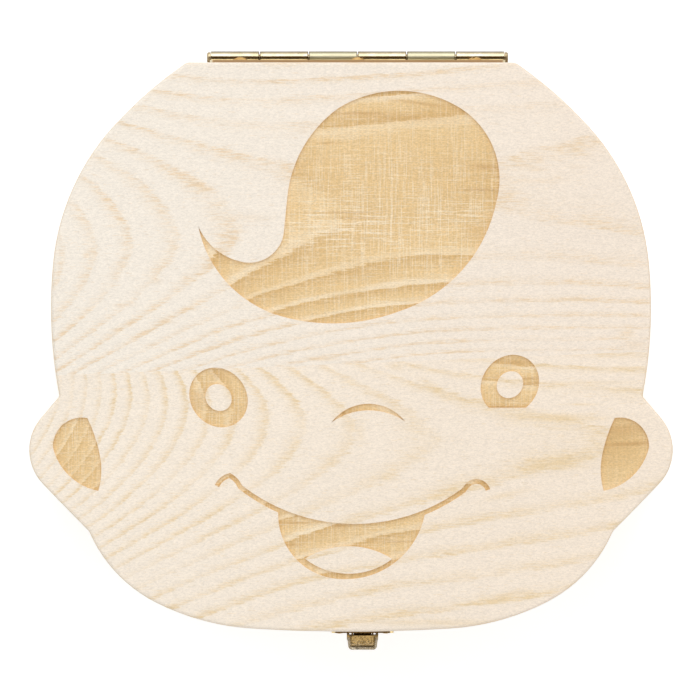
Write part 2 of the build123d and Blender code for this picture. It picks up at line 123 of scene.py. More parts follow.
def seenByEye(tree):
    # 1 for rays that show a surface to the camera, straight or by way of metal or glass.
    path = tree.nodes.new("ShaderNodeLightPath")
    first = calc(tree, "MAXIMUM", path.outputs["Is Camera Ray"], path.outputs["Is Glossy Ray"])
    return calc(tree, "MAXIMUM", first, path.outputs["Is Transmission Ray"])


def makeLight(v, f):
    world = bpy.data.worlds.new("studio")
    scene.world = world
    world.use_nodes = True
    tree = world.node_tree
    tree.nodes.clear()
    soft = put(tree, "ShaderNodeBackground", {"Color": v["worldColour"], "Strength": v["worldStrength"]})
    path = tree.nodes.new("ShaderNodeLightPath")
    towards = dotted(tree, tree.nodes.new("ShaderNodeTexCoord").outputs["Generated"], v["darkTowards"])
    patch = between(tree, towards, v["darkFrom"], v["darkTo"])
    hidden = calc(tree, "MULTIPLY", patch, calc(tree, "SUBTRACT", 1.0, path.outputs["Is Camera Ray"]))
    seen = blendColour(tree, hidden, (1, 1, 1, 1), v["darkColour"])
    white = put(tree, "ShaderNodeBackground", {"Color": seen, "Strength": 1.0})
    mix = tree.nodes.new("ShaderNodeMixShader")
    tree.links.new(seenByEye(tree), mix.inputs[0])
    tree.links.new(soft.outputs[0], mix.inputs[1])
    tree.links.new(white.outputs[0], mix.inputs[2])
    out = tree.nodes.new("ShaderNodeOutputWorld")
    tree.links.new(mix.outputs[0], out.inputs["Surface"])
    for lamp in ("key", "fill", "back"):
        areaLight(lamp + "Light", v[lamp + "Place"], v[lamp + "Power"], v[lamp + "Colour"], v[lamp + "Size"])

    mesh = bpy.data.meshes.new("floor")
    half = f["size"] / 2
    corners = [(-half, -half, 0), (half, -half, 0), (half, half, 0), (-half, half, 0)]
    mesh.from_pydata(corners, [], [(0, 1, 2, 3)])
    floor = bpy.data.objects.new("floor", mesh)
    scene.collection.objects.link(floor)
    material, tree, shader = newMaterial("floorWhite")
    feed(tree, shader.inputs["Base Color"], f["colour"])
    feed(tree, shader.inputs["Roughness"], f["rough"])
    feed(tree, shader.inputs["Specular IOR Level"], 0.0)
    feed(tree, shader.inputs["Emission Color"], (1, 1, 1, 1))
    feed(tree, shader.inputs["Emission Strength"], calc(tree, "MULTIPLY", seenByEye(tree), f["ownLight"]))
    mesh.materials.append(material)


# Small helpers for the shader nodes

def put(tree, kind, values=None, **settings):
    # A new node with its settings and the values or links of its named sockets.
    node = tree.nodes.new(kind)
    for key, value in settings.items():
        setattr(node, key, value)
    for key, value in (values or {}).items():
        feed(tree, node.inputs[key], value)
    return node


def feed(tree, socket, value):
    if isinstance(value, bpy.types.NodeSocket):
        tree.links.new(value, socket)
    else:
        socket.default_value = value


def calc(tree, operation, *values):
    node = tree.nodes.new("ShaderNodeMath")
    node.operation = operation
    for socket, value in zip(node.inputs, values):
        feed(tree, socket, value)
    return node.outputs[0]


def between(tree, value, low, high, toLow=0.0, toHigh=1.0):
    # Smooth step of a value between two limits.
    node = put(tree, "ShaderNodeMapRange", interpolation_type="SMOOTHSTEP")
    names = ("Value", "From Min", "From Max", "To Min", "To Max")
    for name, number in zip(names, (value, low, high, toLow, toHigh)):
        feed(tree, node.inputs[name], number)
    return node.outputs["Result"]


def mixed(tree, share, first, second):
    node = put(tree, "ShaderNodeMix", data_type="FLOAT")
    for name, value in (("Factor", share), ("A", first), ("B", second)):
        feed(tree, node.inputs[name], value)
    return node.outputs["Result"]


def blendColour(tree, share, first, second, how="MIX"):
    node = put(tree, "ShaderNodeMix", data_type="RGBA", blend_type=how)
    feed(tree, node.inputs["Factor"], share)
    feed(tree, node.inputs["A"], first)
    feed(tree, node.inputs["B"], second)
    return node.outputs["Result"]


def added(tree, first, second):
    node = put(tree, "ShaderNodeVectorMath", operation="ADD")
    feed(tree, node.inputs[0], first)
    feed(tree, node.inputs[1], second)
    return node.outputs[0]


def dotted(tree, first, second):
    node = put(tree, "ShaderNodeVectorMath", operation="DOT_PRODUCT")
    feed(tree, node.inputs[0], first)
    feed(tree, node.inputs[1], second)
    return node.outputs["Value"]


def curve(tree, value, stops):
    # A value read off a polyline of stops, each a place from 0 to 1 and the value there.
    ramp = tree.nodes.new("ShaderNodeValToRGB")
    feed(tree, ramp.inputs[0], value)
    points = ramp.color_ramp.elements
    while len(points) < len(stops):
        points.new(0.5)
    for point, (at, grey) in zip(points, stops):
        point.position = at
        point.color = (grey, grey, grey, 1)
    return ramp.outputs[0]


def toned(tree, colourIn, tone):
    # A colour made lighter or darker by a factor.
    node = put(tree, "ShaderNodeVectorMath", operation="SCALE")
    feed(tree, node.inputs[0], colourIn)
    feed(tree, node.inputs["Scale"], tone)
    return node.outputs[0]


def stretched(tree, point, scale, shift=(0, 0, 0)):
    # The point moved and stretched, for a pattern that runs along the grain.
    return put(tree, "ShaderNodeMapping", {"Vector": point, "Location": shift, "Scale": scale}).outputs[0]


def noise(tree, point, detail=2.0, rough=0.5):
    values = {"Vector": point, "Scale": 1.0, "Detail": detail, "Roughness": rough}
    return put(tree, "ShaderNodeTexNoise", values).outputs["Fac"]


def centred(tree, value, amount):
    # A noise from 0 to 1 made a swing of so much to either side.
    return calc(tree, "MULTIPLY", calc(tree, "SUBTRACT", value, 0.5), 2 * amount)


def swung(tree, *pairs):
    # A factor of about 1 that each noise moves to either side by its own amount
    tone = 1.0
    for value, amount in pairs:
        tone = calc(tree, "ADD", tone, centred(tree, value, amount))
    return tone


def newGroup(name, inputs, outputs):
    # A shader node group with named inputs and outputs: the tree, the inputs' node and the outputs' node.
    tree = bpy.data.node_groups.new(name, "ShaderNodeTree")
    kinds = {"value": "NodeSocketFloat", "colour": "NodeSocketColor", "vector": "NodeSocketVector"}
    for socketName, kind, value in inputs:
        socket = tree.interface.new_socket(name=socketName, in_out="INPUT", socket_type=kinds[kind])
        if value is not None:
            socket.default_value = value
    for socketName, kind in outputs:
        tree.interface.new_socket(name=socketName, in_out="OUTPUT", socket_type=kinds[kind])
    return tree, tree.nodes.new("NodeGroupInput"), tree.nodes.new("NodeGroupOutput")


def place(tree, group, values):
    # Places a group in a material with its own values and returns its outputs by name.
    node = tree.nodes.new("ShaderNodeGroup")
    node.node_tree = group
    for key, value in values.items():
        feed(tree, node.inputs[key], value)
    return node.outputs


def newMaterial(name):
    material = bpy.data.materials.new(name)
    material.use_nodes = True
    tree = material.node_tree
    shader = tree.nodes["Principled BSDF"]
    return material, tree, shader


def colour(red, green, blue):
    # A colour as a paint program writes it, from 0 to 255, made linear for the shader.
    shares = [part / 255 for part in (red, green, blue)]
    return (*[c / 12.92 if c <= 0.04045 else ((c + 0.055) / 1.055) ** 2.4 for c in shares], 1)


def millimetres(tree):
    # The point on the piece at rest, in millimetres, and its normal there.
    coordinates = tree.nodes.new("ShaderNodeTexCoord")
    point = put(tree, "ShaderNodeVectorMath", operation="SCALE")
    feed(tree, point.inputs[0], coordinates.outputs["Object"])
    feed(tree, point.inputs["Scale"], 1 / mm)
    return point.outputs[0], coordinates.outputs["Normal"]


# Growth rings of a board

ringGrain = {
    "alongUnit": 60.0,  # millimetres that count as 1 in the cubic, along the board and across it
    "acrossUnit": 30.0,
    "slow": (0.03, 0.08, 0.08),  # each noise is stretched along the board, across it and through it
    "jags": (0.10, 0.9, 0.9),
    "jagSwing": 0.8,
    "fine": (0.28, 3.4, 3.4),
    "fineSwing": 1.4,
    "patches": (0.06, 0.12, 0.12),
    "dashes": (0.42, 3.6, 3.6),
    "lateWood": [(0.0, 0.7), (0.05, 0.15), (0.12, 0.0), (0.52, 0.0), (0.72, 0.30), (0.90, 0.95), (1.0, 0.9)],
    "resist": [(0.0, 0.25), (0.04, 0.0), (0.16, 0.20), (0.45, 0.46), (0.72, 0.60), (0.88, 0.95), (1.0, 0.8)],
}


def growthRings(v):
    # The number of the ring at a point is a cubic of its place on the board: along it, across it and both
    # mixed. It grows evenly with the depth under the face. Noise along the fibres makes the edge of the
    # late wood ragged. Late wood darkens slowly and ends sharply.
    tree, enter, leave = newGroup(
        "growthRings",
        [("Point", "vector", None), ("Middle", "value", 0.0), ("Top", "value", 30.0),
         ("First", "value", 10.0), ("Along", "vector", None), ("Across", "vector", None),
         ("Mixed", "vector", None),
         ("Per Millimetre Down", "value", 0.4), ("Bend", "value", 0.0), ("Raggedness", "value", 0.1),
         ("Wander", "value", 0.2), ("Dashes", "value", 1.0), ("Seed", "value", 0.0)],
        [("Late Wood", "value"), ("Resist", "value"), ("Strength", "value")])
    get = enter.outputs
    parts = put(tree, "ShaderNodeSeparateXYZ", {"Vector": get["Point"]}).outputs
    seed = put(tree, "ShaderNodeCombineXYZ", dict.fromkeys("XYZ", get["Seed"])).outputs[0]
    moved = added(tree, get["Point"], seed)
    x = calc(tree, "DIVIDE", parts["X"], v["alongUnit"])
    y = calc(tree, "DIVIDE", calc(tree, "SUBTRACT", parts["Y"], get["Middle"]), v["acrossUnit"])
    xx = calc(tree, "MULTIPLY", x, x)
    yy = calc(tree, "MULTIPLY", y, y)
    powers = {
        "Along": (x, xx, calc(tree, "MULTIPLY", xx, x)),
        "Across": (y, yy, calc(tree, "MULTIPLY", yy, y)),
        "Mixed": (calc(tree, "MULTIPLY", x, y), calc(tree, "MULTIPLY", xx, y), calc(tree, "MULTIPLY", x, yy)),
    }
    ring = get["First"]
    for name, three in powers.items():
        row = put(tree, "ShaderNodeCombineXYZ", dict(zip("XYZ", three))).outputs[0]
        ring = calc(tree, "ADD", ring, dotted(tree, row, get[name]))
    depth = calc(tree, "SUBTRACT", get["Top"], parts["Z"])
    ring = calc(tree, "ADD", calc(tree, "MULTIPLY_ADD", depth, get["Per Millimetre Down"], ring), get["Bend"])
    slow = centred(tree, noise(tree, stretched(tree, moved, v["slow"]), 1.0), 1.0)
    ring = calc(tree, "MULTIPLY_ADD", slow, get["Wander"], ring)
    jags = centred(tree, noise(tree, stretched(tree, moved, v["jags"], (4, 2, 9)), 1.0), v["jagSwing"])
    fine = centred(tree, noise(tree, stretched(tree, moved, v["fine"]), 2.0, 0.6), v["fineSwing"])
    ring = calc(tree, "MULTIPLY_ADD", calc(tree, "ADD", jags, fine), get["Raggedness"], ring)
    phase = calc(tree, "FRACT", ring)
    number = calc(tree, "FLOOR", ring)
    chance = put(tree, "ShaderNodeTexWhiteNoise", {"W": number}, noise_dimensions="1D").outputs["Value"]
    patches = noise(tree, stretched(tree, moved, v["patches"], (6, 6, 1)))
    strength = calc(tree, "MULTIPLY", between(tree, chance, 0.0, 1.0, 0.5, 1.0),
                    between(tree, patches, 0.3, 0.7, 0.3, 1.15))
    dashes = noise(tree, stretched(tree, moved, v["dashes"], (2, 2, 2)), 2.0, 0.6)
    dashes = between(tree, dashes, 0.42, 0.66, -0.65, 0.6)
    late = calc(tree, "MULTIPLY", curve(tree, phase, v["lateWood"]),
                calc(tree, "MULTIPLY_ADD", dashes, get["Dashes"], 1.0))
    feed(tree, leave.inputs["Late Wood"], calc(tree, "MULTIPLY", late, strength))
    feed(tree, leave.inputs["Resist"], curve(tree, phase, v["resist"]))
    feed(tree, leave.inputs["Strength"], strength)
    return tree


# Fibres and pores that run along the board

fibreGrain = {
    "broad": (0.05, 0.9, 0.9),
    "fine": (0.22, 4.5, 4.5),
    "fineShare": 0.6,
    "speckle": (2.0, 4.4, 4.4),
    "pores": (0.6, 4.6, 4.6),
    "poresFrom": 0.64,  # only the peaks of their noise become pores
    "poresTo": 0.76,
    "clouds": (0.012, 0.035, 0.035),
}


def woodFibres(v):
    # Fine streaks along the grain, the even speckle of sanded wood, a few short dark pores and slow clouds
    tree, enter, leave = newGroup(
        "woodFibres",
        [("Point", "vector", None), ("Seed", "value", 0.0)],
        [("Streaks", "value"), ("Speckle", "value"), ("Pores", "value"), ("Clouds", "value")])
    shift = put(tree, "ShaderNodeCombineXYZ", {"X": enter.outputs["Seed"], "Y": 7.0}).outputs[0]
    moved = added(tree, enter.outputs["Point"], shift)
    broad = calc(tree, "MULTIPLY", noise(tree, stretched(tree, moved, v["broad"])), 1 - v["fineShare"])
    fine = noise(tree, stretched(tree, moved, v["fine"]), 3.0, 0.65)
    pores = noise(tree, stretched(tree, moved, v["pores"], (3, 1, 5)), 1.0)
    clouds = noise(tree, stretched(tree, moved, v["clouds"], (1, 2, 3)), 1.0)
    feed(tree, leave.inputs["Streaks"], calc(tree, "MULTIPLY_ADD", fine, v["fineShare"], broad))
    feed(tree, leave.inputs["Speckle"], noise(tree, stretched(tree, moved, v["speckle"]), 2.0, 0.85))
    feed(tree, leave.inputs["Pores"], between(tree, pores, v["poresFrom"], v["poresTo"]))
    feed(tree, leave.inputs["Clouds"], clouds)
    return tree


# A spot with a soft edge

spotDepth = 30.0  # millimetres, so that a spot on the face reaches right through the board


def softSpot():
    # Falls off as a bell from its middle, over its own half length and half width, turned from the grain.
    tree, enter, leave = newGroup(
        "softSpot",
        [("Point", "vector", None), ("Place", "vector", None), ("Size", "vector", None),
         ("Turn", "value", 0.0), ("Amount", "value", 0.5)],
        [("Spot", "value")])
    get = enter.outputs
    turn = put(tree, "ShaderNodeCombineXYZ", {"Z": get["Turn"]}).outputs[0]
    values = {"Vector": get["Point"], "Location": get["Place"], "Rotation": turn, "Scale": get["Size"]}
    local = put(tree, "ShaderNodeMapping", values, vector_type="TEXTURE").outputs[0]
    bell = calc(tree, "EXPONENT", calc(tree, "MULTIPLY", dotted(tree, local, local), -1.0))
    feed(tree, leave.inputs["Spot"], calc(tree, "MULTIPLY", bell, get["Amount"]))
    return tree


def spots(tree, point, places, top, start=0.0):
    # The sum of several soft spots, each given as x, y, half length, half width, turn in degrees and amount
    total = start
    for x, y, length, width, turn, amount in places:
        values = {"Point": point, "Place": (x, y, top), "Size": (length, width, spotDepth),
                  "Turn": math.radians(turn), "Amount": amount}
        total = calc(tree, "ADD", total, place(tree, groups["softSpot"], values)["Spot"])
    return total


# The picture that a laser has burnt into the lid

laserMarks = {
    "deepest": 0.46,  # the engraving's floor lies between these depths, in millimetres
    "shallowest": 0.30,
    "flatFrom": 0.96,  # the normal's upward part is above this on that floor, below the next on its edge
    "uprightTo": 0.2,
    "rows": (0.22, 5.2, 1.0),
    "columns": (5.2, 0.14, 1.0),
    "patches": (0.07, 0.10, 1.0),
}


def burntPicture(v):
    # Masks from height and normal: the flat floor of the engraving and its upright edge. The laser's
    # passes leave fine pale rows and columns, which are strongest in some places.
    tree, enter, leave = newGroup(
        "burntPicture",
        [("Point", "vector", None), ("Normal", "vector", None), ("Top", "value", 30.0)],
        [("Burnt", "value"), ("Edge", "value"), ("Threads", "value"), ("Rows", "value")])
    get = enter.outputs
    parts = put(tree, "ShaderNodeSeparateXYZ", {"Vector": get["Point"]}).outputs
    tilt = put(tree, "ShaderNodeSeparateXYZ", {"Vector": get["Normal"]}).outputs["Z"]
    depth = calc(tree, "SUBTRACT", get["Top"], parts["Z"])
    shallow = calc(tree, "LESS_THAN", depth, v["deepest"])
    sunk = calc(tree, "GREATER_THAN", depth, v["shallowest"])
    flat = calc(tree, "GREATER_THAN", tilt, v["flatFrom"])
    upright = calc(tree, "LESS_THAN", calc(tree, "ABSOLUTE", tilt), v["uprightTo"])
    rows = noise(tree, stretched(tree, get["Point"], v["rows"]), 2.0, 0.7)
    columns = noise(tree, stretched(tree, get["Point"], v["columns"], (9, 4, 0)), 2.0, 0.7)
    patches = noise(tree, stretched(tree, get["Point"], v["patches"], (5, 8, 0)))
    crossed = calc(tree, "ADD", between(tree, rows, 0.50, 0.70), between(tree, columns, 0.47, 0.66))
    strong = between(tree, patches, 0.35, 0.6, 0.75, 1.0)
    feed(tree, leave.inputs["Burnt"], calc(tree, "MULTIPLY", calc(tree, "MULTIPLY", shallow, sunk), flat))
    feed(tree, leave.inputs["Edge"], calc(tree, "MULTIPLY", shallow, upright))
    feed(tree, leave.inputs["Threads"], calc(tree, "MULTIPLY", crossed, strong))
    feed(tree, leave.inputs["Rows"], rows)
    return tree


# The boards. Spots are given as x, y, half length, half width, turn in degrees and amount. In "calm" the
# burnt wood hardly shows its rings, in "woven" and "rowed" the laser's passes show most.

rearBoard = {
    "rings": {
        "Middle": 22.0, "Top": 29.9, "First": 4.06,
        "Along": (1.65, -3.085, 1.133), "Across": (-2.055, 6.602, -1.328), "Mixed": (-3.046, 1.177, 0.532),
        "Per Millimetre Down": 0.45, "Raggedness": 0.10, "Wander": 0.22, "Dashes": 1.0, "Seed": 11.0,
    },
    "bends": [
        (10.0, 46.0, 34.0, 7.0, 0, -0.65),
    ],
    "calm": [
        (6.0, 28.5, 20.0, 9.5, 0, 0.85), (-9.5, 25.5, 6.0, 5.0, 0, 0.35),
    ],
    "woven": [
        (8.0, 27.0, 13.0, 9.0, 0, 0.5), (-12.0, 9.0, 12.0, 6.0, -25, -0.15),
    ],
    "rowed": [
        (-4.5, 23.5, 8.0, 4.5, 0, 0.7), (21.0, 26.0, 7.0, 2.5, 0, 0.35),
    ],
    "scorches": [
        (25.5, 34.6, 2.6, 0.5, -5, 0.5), (24.3, 30.3, 3.0, 0.22, 0, 0.7), (-1.0, 26.0, 6.0, 0.22, 0, 0.5),
        (1.0, 25.0, 5.0, 0.22, 0, 0.4), (-4.3, 39.2, 2.0, 0.25, 0, 0.5), (12.5, 46.8, 6.0, 0.35, -8, 0.45),
        (1.0, 44.8, 4.5, 0.25, 0, 0.45), (24.5, 22.5, 3.5, 2.2, 0, 0.2), (9.0, 44.0, 12.0, 0.9, -3, 0.2),
    ],
    "paleLeft": colour(246, 237, 224),
    "paleRight": colour(244, 230, 214),
    "late": colour(236, 213, 182),
    "flecks": [
        (52.3, 3.2, 1.3, 0.6, 0, 0.9), (53.6, 1.2, 2.4, 0.45, 0, 0.7), (-28.0, 30.6, 1.5, 0.4, 0, 0.5),
        (-19.8, 25.0, 4.0, 0.8, 0, 0.35), (-35.0, 5.3, 1.3, 0.4, 0, 0.6), (-30.2, 7.8, 1.2, 0.3, 0, 0.5),
        (-43.0, 8.5, 2.0, 0.3, 0, 0.45), (-50.0, 18.0, 0.7, 0.5, 0, 0.6), (-36.8, 13.0, 1.0, 0.5, 0, 0.5),
        (35.0, 34.2, 2.2, 0.35, 0, 0.5), (36.0, 32.0, 6.0, 0.5, 0, 0.35), (-5.5, -1.7, 2.6, 0.35, 0, 0.8),
    ],
}
frontBoard = {
    "rings": {
        "Middle": -18.0, "Top": 29.9, "First": 12.03,
        "Along": (5.249, -5.639, 2.598), "Across": (-1.161, 7.315, 3.299), "Mixed": (3.503, -3.275, 0.604),
        "Per Millimetre Down": 0.45, "Raggedness": 0.12, "Wander": 0.2, "Dashes": 0.7, "Seed": 37.0,
    },
    "bends": [],
    "calm": [
        (-51.7, -19.5, 7.0, 9.0, 0, 0.55), (-25.2, -8.9, 8.0, 8.0, 0, 0.5), (30.1, -6.1, 8.0, 8.0, 0, 0.35),
    ],
    "woven": [
        (50.0, -19.0, 7.0, 9.0, 0, -0.3),
    ],
    "rowed": [],
    "scorches": [
        (52.4, -17.8, 5.0, 0.35, 3, 0.7), (52.0, -15.0, 4.5, 1.2, 3, 0.4), (-10.2, -32.75, 3.0, 0.22, 0, 0.6),
        (-2.3, -33.3, 1.8, 0.22, 0, 0.5), (-11.2, -36.9, 1.8, 0.2, 0, 0.5), (9.0, -36.3, 3.2, 0.2, 0, 0.45),
        (33.7, -5.4, 2.0, 0.25, 0, 0.6), (33.6, -6.4, 1.8, 0.25, 5, 0.5), (28.9, -10.8, 3.8, 0.2, 0, 0.7),
        (30.8, -2.3, 3.0, 0.7, 0, 0.35), (-29.1, -9.5, 1.5, 2.0, 0, 0.3), (-25.5, -4.6, 2.2, 0.9, -20, 0.3),
    ],
    "paleLeft": colour(247, 235, 219),
    "paleRight": colour(246, 231, 213),
    "late": colour(235, 211, 172),
    "flecks": [
        (39.5, -12.8, 8.5, 0.8, 0, 0.7), (40.0, -21.5, 6.0, 1.7, 2, 0.45), (16.0, -7.4, 3.2, 0.8, -33, 0.6),
        (8.6, -3.3, 1.5, 0.6, -15, 0.6), (44.0, -10.3, 2.8, 0.25, 0, 0.6), (46.0, -6.2, 8.0, 0.4, 0, 0.4),
        (29.5, -27.4, 4.5, 0.6, 14, 0.5), (7.2, -24.2, 1.6, 0.8, 0, 0.4), (29.0, -46.7, 3.2, 0.6, 20, 0.6),
        (15.0, -51.6, 12.0, 0.7, 0, 0.6), (-34.0, -48.6, 1.2, 0.4, 0, 0.6), (1.8, -15.5, 0.9, 2.2, 0, 0.3),
    ],
}
baseBoard = {
    "rings": {
        "Middle": 0.0, "Top": 20.0, "First": 9.0,
        "Along": (5.0, -1.4, 0.6), "Across": (-1.0, 3.4, 0.5), "Mixed": (1.2, -0.8, 0.3),
        "Per Millimetre Down": 0.42, "Raggedness": 0.12, "Wander": 0.3, "Dashes": 0.8, "Seed": 71.0,
    },
    "bends": [],
    "paleLeft": colour(245, 234, 218),
    "paleRight": colour(244, 231, 214),
    "late": colour(234, 211, 176),
    "flecks": [
        (-30.0, -46.0, 6.0, 0.6, 3, 0.5), (46.0, 10.0, 3.0, 0.5, 0, 0.5),
    ],
}
coverBoard = {
    "rings": {
        "Middle": 0.0, "Top": 17.8, "First": 5.0,
        "Along": (4.0, -0.8, 0.0), "Across": (-0.6, 2.6, 0.0), "Mixed": (0.8, 0.0, 0.0),
        "Per Millimetre Down": 0.5, "Raggedness": 0.11, "Wander": 0.25, "Dashes": 0.8, "Seed": 93.0,
    },
    "bends": [],
    "paleLeft": colour(245, 235, 219),
    "paleRight": colour(244, 231, 214),
    "late": colour(234, 211, 176),
    "flecks": [],
}
woodFinish = {
    "lateShare": 1.0,
    "streakSwing": 0.045,
    "speckleSwing": 0.29,
    "poreShare": 0.4,
    "cloudSwing": 0.03,
    "endGrain": colour(224, 200, 164),
    "endGrainShare": 0.4,
    "roughness": 0.62,
    "burntDark": colour(214, 176, 118),
    "burntMiddle": colour(234, 202, 150),
    "burntPale": colour(248, 230, 200),
    "scorch": colour(190, 144, 86),
    "threadShare": 0.4,
    "burntStreakSwing": 0.12,
    "burntSpeckleSwing": 0.38,
    "edgeShare": 0.75,  # painted light: how much paler the upright edges of the engraving are, which takes off their shade
    "halfWidth": 60.0,  # the pale tone runs from left to right over this much to either side
    "endGrainFrom": 0.35,
    "calmResist": 0.44,
    "shine": 0.25,
    "fibreRough": 0.12,
    "bumpStrength": 0.35,
    "bumpHeight": 0.05,
    "laserRelief": 2.0,
}


def scorchedWood(tree, point, board, finish, rings, fibres, picture):
    # Rings that resist the laser stay paler. Over them lie its threads and rows and a few dark streaks.
    top = board["rings"]["Top"]
    resist = calc(tree, "MULTIPLY", rings["Resist"], between(tree, rings["Strength"], 0.2, 1.0, 0.75, 1.0))
    resist = mixed(tree, spots(tree, point, board["calm"], top), resist, finish["calmResist"])
    lower = calc(tree, "MULTIPLY", resist, 2.0)
    upper = calc(tree, "MULTIPLY_ADD", resist, 2.0, -1.0)
    wood = blendColour(tree, lower, finish["burntDark"], finish["burntMiddle"])
    wood = blendColour(tree, upper, wood, finish["burntPale"])
    woven = spots(tree, point, board["woven"], top, finish["threadShare"])
    rowed = spots(tree, point, board["rowed"], top)
    rowed = calc(tree, "MULTIPLY", rowed, between(tree, picture["Rows"], 0.47, 0.62))
    threads = calc(tree, "ADD", calc(tree, "MULTIPLY", picture["Threads"], woven), rowed)
    wood = blendColour(tree, threads, wood, finish["burntPale"])
    streaky = between(tree, fibres["Streaks"], 0.35, 0.6, 0.5, 1.0)
    marks = calc(tree, "MULTIPLY", spots(tree, point, board["scorches"], top), streaky)
    wood = blendColour(tree, marks, wood, finish["scorch"])
    return toned(tree, wood, swung(tree, (fibres["Streaks"], finish["burntStreakSwing"]),
                                   (fibres["Speckle"], finish["burntSpeckleSwing"])))


def boardWood(name, board, finish, burnt):
    # Bare sanded softwood, and where asked the burnt picture on it
    material, tree, shader = newMaterial(name)
    point, normal = millimetres(tree)
    top = board["rings"]["Top"]
    bend = spots(tree, point, board["bends"], top)
    rings = place(tree, groups["growthRings"], {"Point": point, "Bend": bend, **board["rings"]})
    fibres = place(tree, groups["woodFibres"], {"Point": point, "Seed": board["rings"]["Seed"]})
    x = put(tree, "ShaderNodeSeparateXYZ", {"Vector": point}).outputs["X"]
    side = between(tree, x, -finish["halfWidth"], finish["halfWidth"])
    pale = blendColour(tree, side, board["paleLeft"], board["paleRight"])
    streaky = between(tree, fibres["Streaks"], 0.35, 0.6, 0.35, 1.0)
    fleck = calc(tree, "MULTIPLY", spots(tree, point, board["flecks"], top), streaky)
    late = calc(tree, "ADD", calc(tree, "MULTIPLY", rings["Late Wood"], finish["lateShare"]), fleck)
    late = calc(tree, "MULTIPLY_ADD", fibres["Pores"], finish["poreShare"], late)
    wood = blendColour(tree, late, pale, board["late"])
    wood = toned(tree, wood, swung(tree, (fibres["Streaks"], finish["streakSwing"]),
                                   (fibres["Speckle"], finish["speckleSwing"]),
                                   (fibres["Clouds"], finish["cloudSwing"])))
    facing = calc(tree, "ABSOLUTE", put(tree, "ShaderNodeSeparateXYZ", {"Vector": normal}).outputs["X"])
    endShare = between(tree, facing, finish["endGrainFrom"], 1.0, 0.0, finish["endGrainShare"])
    wood = blendColour(tree, endShare, wood, finish["endGrain"])
    height = calc(tree, "MULTIPLY", fibres["Streaks"], 0.5)
    if burnt:
        picture = place(tree, groups["burntPicture"], {"Point": point, "Normal": normal, "Top": lidTop})
        scorched = scorchedWood(tree, point, board, finish, rings, fibres, picture)
        # painted light on the engraving's upright edges, which takes off their shade
        edge = blendColour(tree, finish["edgeShare"], scorched, finish["burntPale"])
        wood = blendColour(tree, picture["Burnt"], wood, scorched)
        wood = blendColour(tree, picture["Edge"], wood, edge)
        relief = calc(tree, "MULTIPLY", picture["Burnt"], picture["Rows"])
        height = calc(tree, "MULTIPLY_ADD", relief, finish["laserRelief"], height)
    rough = calc(tree, "MULTIPLY_ADD", fibres["Streaks"], finish["fibreRough"], finish["roughness"])
    values = {"Strength": finish["bumpStrength"], "Distance": finish["bumpHeight"] * mm, "Height": height}
    bump = put(tree, "ShaderNodeBump", values)
    feed(tree, shader.inputs["Base Color"], wood)
    feed(tree, shader.inputs["Roughness"], rough)
    feed(tree, shader.inputs["Specular IOR Level"], finish["shine"])
    feed(tree, shader.inputs["Normal"], bump.outputs[0])
    return material


# Plated brass and drawn wire

plating = {
    "tarnish": (0.35, 0.5, 0.5),
    "tarnishFrom": 0.35,
    "tarnishTo": 0.68,
    "grain": (2.6, 2.6, 2.6),
    "scratchAlong": 0.35,
    "scratchRough": 0.06,
    "scratchHeight": 0.5,
    "mottleFrom": 0.48,
    "mottleTo": 0.66,
}


def metalWear(v):
    # Blotches of tarnish, and fine scratches along the rolling direction of the sheet.
    tree, enter, leave = newGroup(
        "metalWear",
        [("Point", "vector", None), ("Scratch Across", "value", 9.0), ("Seed", "value", 0.0)],
        [("Tarnish", "value"), ("Scratches", "value"), ("Grain", "value")])
    shift = put(tree, "ShaderNodeCombineXYZ", {"X": enter.outputs["Seed"]}).outputs[0]
    moved = added(tree, enter.outputs["Point"], shift)
    feed(tree, leave.inputs["Tarnish"], noise(tree, stretched(tree, moved, v["tarnish"]), 2.0, 0.6))
    feed(tree, leave.inputs["Grain"], noise(tree, stretched(tree, moved, v["grain"]), 2.0, 0.6))
    across = enter.outputs["Scratch Across"]
    scale = put(tree, "ShaderNodeCombineXYZ", {"X": v["scratchAlong"], "Y": across, "Z": across}).outputs[0]
    lines = put(tree, "ShaderNodeVectorMath", operation="MULTIPLY")
    feed(tree, lines.inputs[0], moved)
    feed(tree, lines.inputs[1], scale)
    feed(tree, leave.inputs["Scratches"], noise(tree, lines.outputs[0], 2.0, 0.7))
    return tree


